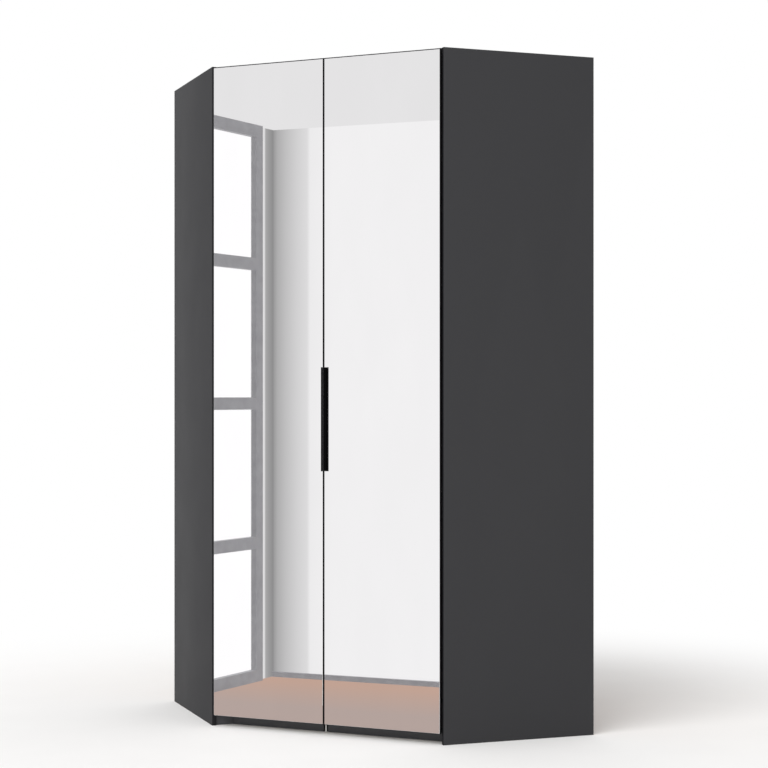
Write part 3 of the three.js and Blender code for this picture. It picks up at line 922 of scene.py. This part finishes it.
class WARDROBE_OT_hanging_rail(bpy.types.Operator):
    """Adds the chromed hanging rail, its wall socket and its hanger under the hat shelf"""

    bl_idname = "wardrobe.hanging_rail"
    bl_label = "Hanging Rail"

    def execute(self, context):
        low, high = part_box("hanging_rail")
        radius, wall, length = (high.x - low.x) / 2, 1.5 * MM, high.y - low.y
        rail = rod("hanging_rail_tube", radius, length, sides=64)
        edit_faces(rail, lambda normal, _: abs(normal.z) > SQUARE_ON)
        bpy.ops.mesh.inset(thickness=wall)
        bpy.ops.mesh.bridge_edge_loops()
        back_to_object(rail)
        put(rail, facing(on_face(low, high, -ALONG_Y), ALONG_Y))
        coat(rail, chromed_steel_tube)
        carry(rail, "carcass", "steel", "hanging_rail")
        fitting("rail_socket", chromed_steel_tube)
        fitting("rail_hanger", chromed_steel_tube)
        middle = (low.x + high.x) / 2
        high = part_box("rail_hanger")[1]
        pad, from_end, aside = 3 * MM, 30 * MM, 14 * MM
        places = [facing(Vector((x, high.y - from_end, high.z - pad)), -UP)
                  for x in (middle - aside, middle + aside)]
        screws("rail_hanger_screws", places)
        return {"FINISHED"}


class WARDROBE_OT_wall_angles(bpy.types.Operator):
    """Adds the two angles that tie the top board to the walls"""

    bl_idname = "wardrobe.wall_angles"
    bl_label = "Wall Angles"

    def execute(self, context):
        for side in SIDES:
            node = f"{side}_wall_angle"
            fitting(node, zinc_plated_steel)
            low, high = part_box(node)
            _, back = into_wardrobe(side)
            thick, from_bend = 2 * MM, 4 * MM
            under = on_face(low, high, UP, thick) - back * from_bend
            upright = on_face(low, high, back, thick) - UP * from_bend
            screws(f"{node}_screws", [facing(under, -UP), facing(upright, -back)])
        return {"FINISHED"}


class WARDROBE_OT_door_boards(bpy.types.Operator):
    """Adds the two door boards, banded all round, and the bumpers they close on"""

    bl_idname = "wardrobe.door_boards"
    bl_label = "Door Boards"

    def execute(self, context):
        radius, height, dome = 3.5 * MM, 1.5 * MM, 1 * MM
        bumper = domed_rod("bumper_model", radius, height, dome, 4)
        coat(bumper, clear_silicone)
        inset, above_bottom, above_top = 30 * MM, 9 * MM, 6 * MM
        heights = (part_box("bottom_board")[1].z - above_bottom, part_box("top_board")[0].z + above_top)
        for side in SIDES:
            node = f"{side}_door_board"
            board(node, "door_board", INWARD, [ALONG, -ALONG, UP, -UP],
                  graphite_melamine, upright_linen_melamine, body=f"{side}_door")
            low, high = front_box(node)
            along = high.x - inset if side == "left" else low.x + inset
            places = [facing(FRONT @ Vector((along, high.y, z)), INWARD) for z in heights]
            pair = [copied(bumper, f"{side}_bumper", place) for place in places]
            carry(merged(pair, f"{side}_door_bumpers"), f"{side}_door", "grey_plastic")
        bpy.data.objects.remove(bumper)
        return {"FINISHED"}


class WARDROBE_OT_mirrors(bpy.types.Operator):
    """Adds the full-height mirrors with their chamfered and polished edges"""

    bl_idname = "wardrobe.mirrors"
    bl_label = "Mirrors"

    def execute(self, context):
        glass = settings().glass
        mirror, edge = silvered_float_glass, polished_glass_edge
        for side in SIDES:
            node = f"{side}_mirror"
            low, high = front_box(node)
            pane = slab(f"{node}_pane", low, high)
            edit_edges(pane, lambda a, b: max(a.y, b.y) < low.y + TOUCH)
            bpy.ops.mesh.bevel(offset=glass.chamfer, segments=1, affect="EDGES")
            edit_edges(pane, lambda a, b: min(a.y, b.y) > high.y - TOUCH)
            bpy.ops.mesh.bevel(offset=glass.arris, segments=2, affect="EDGES")
            back_to_object(pane)
            coat(pane, mirror, edge,
                 choose=lambda normal, _: mirror if normal.y < -TOWARDS else edge)
            put(pane, FRONT)
            carry(pane, f"{side}_door", "mirror_glass", node)
        return {"FINISHED"}


class WARDROBE_OT_door_handle(bpy.types.Operator):
    """Adds the black handle on the right door's closing edge"""

    bl_idname = "wardrobe.door_handle"
    bl_label = "Door Handle"

    def execute(self, context):
        node, shortest, lip_depth = "door_handle", 0.5 * MM, 12 * MM
        handle = softened_copy(node, f"{node}_profile", settings().metal.handle_radius, shortest)
        lip_foot = foremost(node) + lip_depth
        black, painted_highlight = black_anodised_aluminium, satin_anodising_painted_highlight

        # The lip's inner side gets the paler finish, a painted highlight.
        def choose(normal, centre):
            inner_side = normal.dot(ALONG) > SQUARE_ON and centre.dot(INWARD) < lip_foot
            return painted_highlight if inner_side else black

        coat(handle, black, painted_highlight, choose=choose)
        carry(handle, "right_door", "black_aluminium", node)
        return {"FINISHED"}


class WARDROBE_OT_hinges(bpy.types.Operator):
    """Adds the concealed hinges with the screws of their plates, arms and cups"""

    bl_idname = "wardrobe.hinges"
    bl_label = "Hinges"

    def execute(self, context):
        for side in SIDES:
            bodies = {"plate": "carcass", "arm": "carcass",
                      "link": f"{side}_links", "cup": f"{side}_door"}
            for number in HINGES:
                for part, body in bodies.items():
                    fitting(f"{side}_hinge_{part}_{number}", nickel_plated_steel, body)
                self.plate_screws(side, number)
                self.cup_screws(side, number)
        return {"FINISHED"}

    def plate_screws(self, side, number):
        """Two screws hold the plate to the side panel, and two more the arm to the plate."""
        across, back = into_wardrobe(side)
        thick, aside, front, rear = 2 * MM, 16 * MM, -4 * MM, 18 * MM
        foot = on_face(*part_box(f"{side}_hinge_plate_{number}"), -across, thick)
        web = on_face(*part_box(f"{side}_hinge_arm_{number}"), across)
        places = [facing(foot + UP * z, across) for z in (-aside, aside)]
        places += [facing(web + back * y, across) for y in (front, rear)]
        screws(f"{side}_hinge_plate_screws_{number}", places)

    def cup_screws(self, side, number):
        """Two screws hold the cup's wings to the door."""
        low, high = front_box(f"{side}_hinge_cup_{number}")
        aside = 25 * MM
        rim = Vector(((low.x + high.x) / 2, high.y, (low.z + high.z) / 2))
        places = [facing(FRONT @ (rim + UP * z), INWARD) for z in (-aside, aside)]
        screws(f"{side}_hinge_cup_screws_{number}", places, f"{side}_door")


# Studio


def reflected_only(thing, finish):
    """Gives a thing its finish and marks it as stage that neither the camera nor the light sees."""
    coat(thing, finish)
    thing.visible_camera = thing.visible_diffuse = False
    thing.visible_shadow = thing.visible_transmission = False


def plane(name, length, width):
    """A level sheet, centred on the origin."""
    return added(name, bpy.ops.mesh.primitive_plane_add, (length, width, 1), size=1)


def sheet(name, start, end, height, finish):
    """A sheet that stands between two floor points."""
    length = (end - start).length
    made = plane(name, length, height)
    upright = Matrix.Translation((length / 2, 0, height / 2)) @ Matrix.Rotation(pi / 2, 4, "X")
    put(made, standing(start, end) @ upright)
    reflected_only(made, finish)


def tube_frame(name, start, end, height, tube, bars):
    """Square tubes round an upright rectangle, with level bars at the given heights."""
    length, half = (end - start).length, tube / 2
    spans = [(0, tube, 0, height), (length - tube, length, 0, height)]
    spans += [(tube, length - tube, z - half, z + half) for z in (half, *bars, height - half)]
    tubes = [slab(f"{name}_{i}", Vector((x0, -half, z0)), Vector((x1, half, z1)))
             for i, (x0, x1, z0, z1) in enumerate(spans)]
    made = merged(tubes, name)
    put(made, standing(start, end))
    reflected_only(made, lacquered_tube)


class WARDROBE_OT_studio(bpy.types.Operator):
    """Adds the floor, the lights, what the mirrors reflect and the camera"""

    bl_idname = "wardrobe.studio"
    bl_label = "Studio"

    def execute(self, context):
        studio = settings().studio
        self.floor()
        self.reflected_set()
        self.backdrop()
        self.light(studio)
        self.camera(studio)
        return {"FINISHED"}

    def floor(self):
        ground = added("studio_floor", bpy.ops.mesh.primitive_circle_add,
                       vertices=96, radius=30, fill_type="NGON")
        coat(ground, painted_floor)

    def reflected_set(self):
        """A bank of four lamps and a cloth flat, hinged in a fold, over a roll of paper"""
        fold, bank_end, flat_end = (FRONT @ Vector((*place, 0)) for place in (
            (-0.351, -1.136), (-0.405, -0.452), (0.564, -1.173)))
        height, tube, inset, lamps = 2.3, 0.05, 0.12, 4
        bank_start = fold + (bank_end - fold).normalized() * inset
        sheet("lamp_cloth", bank_start, bank_end, height, lit_cloth)
        bars = [height * step / lamps for step in range(1, lamps)]
        tube_frame("lamp_bank", bank_start, bank_end, height, tube, bars)
        # The flat's two cloths glow with painted light and a painted shade at the fold.
        sheet("fold_cloth", fold, bank_start, height, cloth_in_fold_painted_shade)
        sheet("flat_cloth", fold, flat_end, height, cloth_from_fold_painted_shade)
        rail_depth, rail_height, length = 0.015, 0.022, (flat_end - fold).length
        rail = slab("foot_rail", Vector((0, 0, 0)), Vector((length, rail_depth, rail_height)))
        put(rail, standing(fold, flat_end))
        reflected_only(rail, lacquered_tube)
        paper_length, paper_width, paper_middle = 1.38, 1.1, (0.31, -0.6, 0.001)
        paper = plane("floor_paper", paper_length, paper_width)
        put(paper, FRONT @ Matrix.Translation(paper_middle))
        # The paper glows: its light is painted.
        reflected_only(paper, warm_paper_painted_light)

    def backdrop(self):
        radius, height = 5.5, 8
        backdrop = added(
            "backdrop", bpy.ops.mesh.primitive_cylinder_add, vertices=96, radius=radius,
            depth=height, end_fill_type="NOTHING", location=(0, 0, height / 2))
        # The backdrop glows, darker up high: painted shade.
        reflected_only(backdrop, backdrop_painted_shade)

    def light(self, studio):
        bpy.ops.object.select_all(action="DESELECT")
        bpy.ops.object.light_add(type="SUN")
        sun = bpy.context.object
        sun.name = "broad_light"
        sun.data.energy, sun.data.angle = studio.sun, studio.spread
        from_left = Vector((-0.62, -0.4, 0.67))
        sun.rotation_euler = from_left.to_track_quat("Z", "Y").to_euler()
        sun.visible_glossy = False
        world = bpy.data.worlds.new("even_light")
        bpy.context.scene.world = world
        world.use_nodes = True
        tree = world.node_tree
        tree.nodes.clear()
        strength = add_node(tree, "ShaderNodeMapRange", {
            "Value": seen_directly(tree), "To Min": studio.ambient, "To Max": 1.0})
        sky = add_node(tree, "ShaderNodeBackground", {"Color": WHITE, "Strength": strength})
        add_node(tree, "ShaderNodeOutputWorld", {"Surface": sky})
        bpy.context.scene.view_settings.view_transform = "Standard"

    def camera(self, studio):
        bpy.ops.object.camera_add(location=studio.eye, rotation=(pi / 2, 0, studio.heading))
        camera = bpy.context.object
        camera.name = "camera"
        camera.data.lens, camera.data.sensor_width = studio.lens, SENSOR
        camera.data.shift_y = studio.rise
        bpy.context.scene.camera = camera


OPERATORS = (
    WARDROBE_OT_side_panels, WARDROBE_OT_corner_boards, WARDROBE_OT_corner_post,
    WARDROBE_OT_back_panels, WARDROBE_OT_shelf_column, WARDROBE_OT_plinth, WARDROBE_OT_hanging_rail,
    WARDROBE_OT_wall_angles, WARDROBE_OT_door_boards, WARDROBE_OT_mirrors, WARDROBE_OT_door_handle,
    WARDROBE_OT_hinges, WARDROBE_OT_studio)


class WARDROBE_PT_pieces(bpy.types.Panel):
    """Lists the wardrobe's pieces and their settings"""

    bl_idname = "WARDROBE_PT_pieces"
    bl_label = "Corner Wardrobe"
    bl_space_type = "VIEW_3D"
    bl_region_type = "UI"
    bl_category = "Wardrobe"

    def draw(self, context):
        column = self.layout.column()
        for operator in OPERATORS:
            column.operator(operator.bl_idname)
        given = context.scene.corner_wardrobe
        for group in (given.boards, given.glass, given.metal, given.studio):
            for name in group.bl_rna.properties.keys():
                if name not in {"rna_type", "name"}:
                    column.prop(group, name)


CLASSES = (BoardSettings, GlassSettings, MetalSettings, StudioSettings, WardrobeSettings,
           *OPERATORS, WARDROBE_PT_pieces)


def register():
    for cls in CLASSES:
        bpy.utils.register_class(cls)
    bpy.types.Scene.corner_wardrobe = bpy.props.PointerProperty(
        type=WardrobeSettings, name="Corner wardrobe", description="Sizes and colours")


def unregister():
    del bpy.types.Scene.corner_wardrobe
    for cls in reversed(CLASSES):
        bpy.utils.unregister_class(cls)


def main():
    register()
    for operator in OPERATORS:
        group, name = operator.bl_idname.split(".")
        getattr(getattr(bpy.ops, group), name)()
    bpy.data.objects.remove(bpy.data.objects["screw_model"])


if __name__ == "__main__":
    main()
